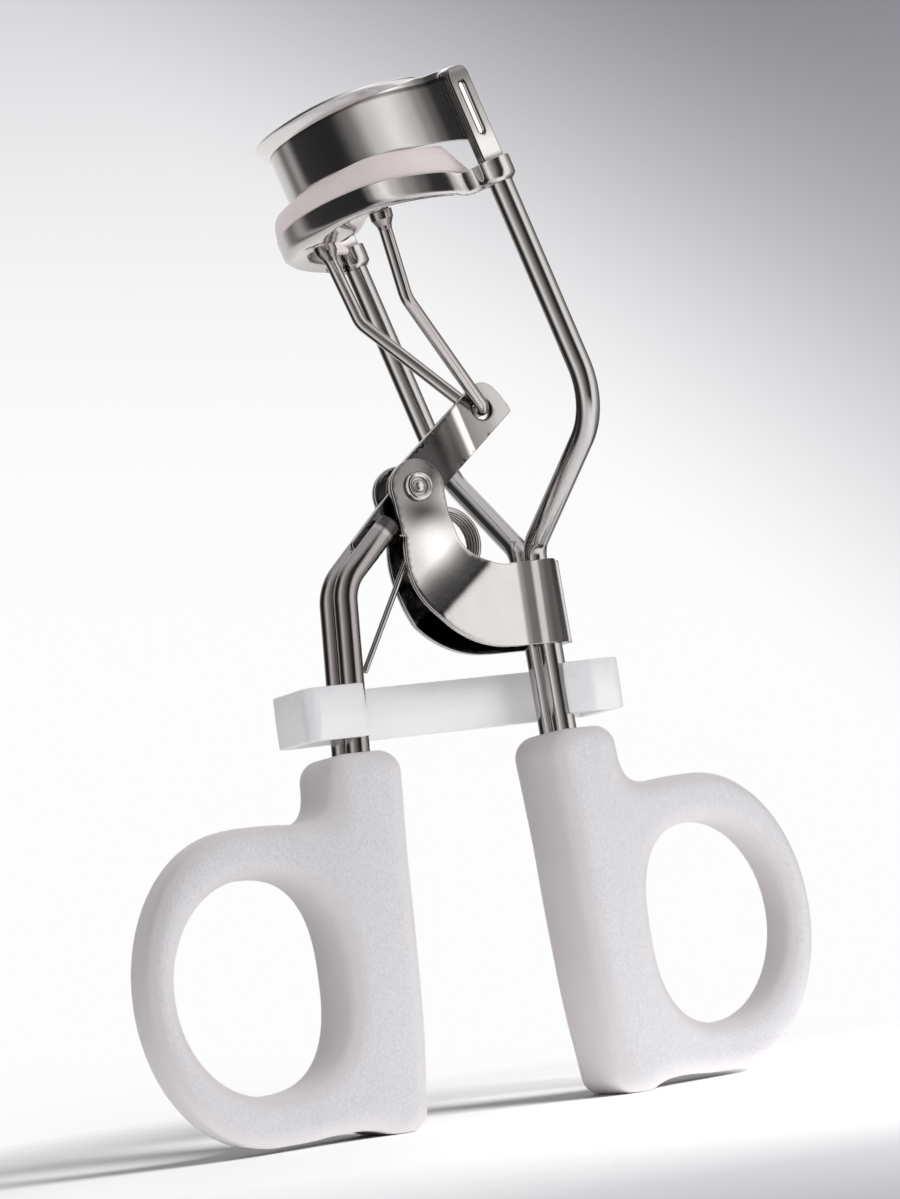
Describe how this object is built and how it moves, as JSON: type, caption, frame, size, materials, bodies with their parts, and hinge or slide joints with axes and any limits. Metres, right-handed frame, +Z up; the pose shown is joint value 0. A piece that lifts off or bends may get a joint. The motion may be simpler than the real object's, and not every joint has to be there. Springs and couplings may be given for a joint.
{
  "type": "eyelash curler",
  "caption": "Hand-held eyelash curler: a sliding lower jaw with a soft pad closes on a curved upper jaw when two looped grips are squeezed.",
  "frame": {"origin": "on the floor the grips stand on, midway between the outer ends of the two finger loops and midway between the two arm wires; the main pivot is 1.3 mm to -X of the line straight up from it", "axes": "+Z up from the grips to the jaws; +X from the moving grip to the fixed grip, so the jaws bulge to -X; Y runs along the pivot, from the front ear (-Y) to the back ear (+Y)"},
  "size_m": [0.0708, 0.0364, 0.0975],
  "materials": {
    "polished_steel": "polished, fine brushed grain",
    "wire_steel": "polished drawn wire",
    "spring_steel": "satin spring wire",
    "white_grip": "fine matte grain",
    "frosted_clip": "frosted translucent",
    "silicone": "soft matte silicone"
  },
  "bodies": {
    "frame": {"upper_jaw": "polished_steel", "arm_wire_front": "wire_steel", "arm_wire_back": "wire_steel", "pivot_bracket": "polished_steel", "pivot_rivet": "polished_steel", "pivot_washer_front": "polished_steel", "pivot_washer_back": "polished_steel", "return_spring": "spring_steel", "fixed_grip": "white_grip"},
    "handle": {"lever_plate": "polished_steel", "handle_wire_front": "wire_steel", "handle_wire_back": "wire_steel", "moving_grip": "white_grip"},
    "lower_jaw": {"lower_jaw": "polished_steel", "silicone_pad": "silicone"},
    "push_link": {"push_link": "wire_steel", "link_ferrule_front": "polished_steel", "link_ferrule_back": "polished_steel"},
    "clip": {"retaining_clip": "frosted_clip"}
  },
  "joints": [
    {"name": "handle_hinge", "type": "hinge", "parent": "frame", "child": "handle", "pos_m": [-0.0013, 0, 0.06], "axis": [0, 1, 0], "range_deg": [0, 16], "deforming": ["return_spring"]},
    {"name": "jaw_slide", "type": "slide", "parent": "frame", "child": "lower_jaw", "axis": [0.294, 0, -0.9558], "range_m": [0, 0.0035]},
    {"name": "link_swing", "type": "hinge", "parent": "lower_jaw", "child": "push_link", "pos_m": [-0.0036, 0, 0.0869], "axis": [0, 1, 0], "range_deg": [-3, 0]},
    {"name": "clip_swing", "type": "hinge", "parent": "frame", "child": "clip", "pos_m": [0.0107, 0, 0.065], "axis": [0, 1, 0], "range_deg": [0, 7]}
  ],
  "couplings": [
    {"joint": "jaw_slide", "follows": "handle_hinge", "m_per_rad": 0.012008},
    {"joint": "link_swing", "follows": "handle_hinge", "ratio": -0.13383},
    {"joint": "clip_swing", "follows": "handle_hinge", "ratio": 0.4}
  ]
}
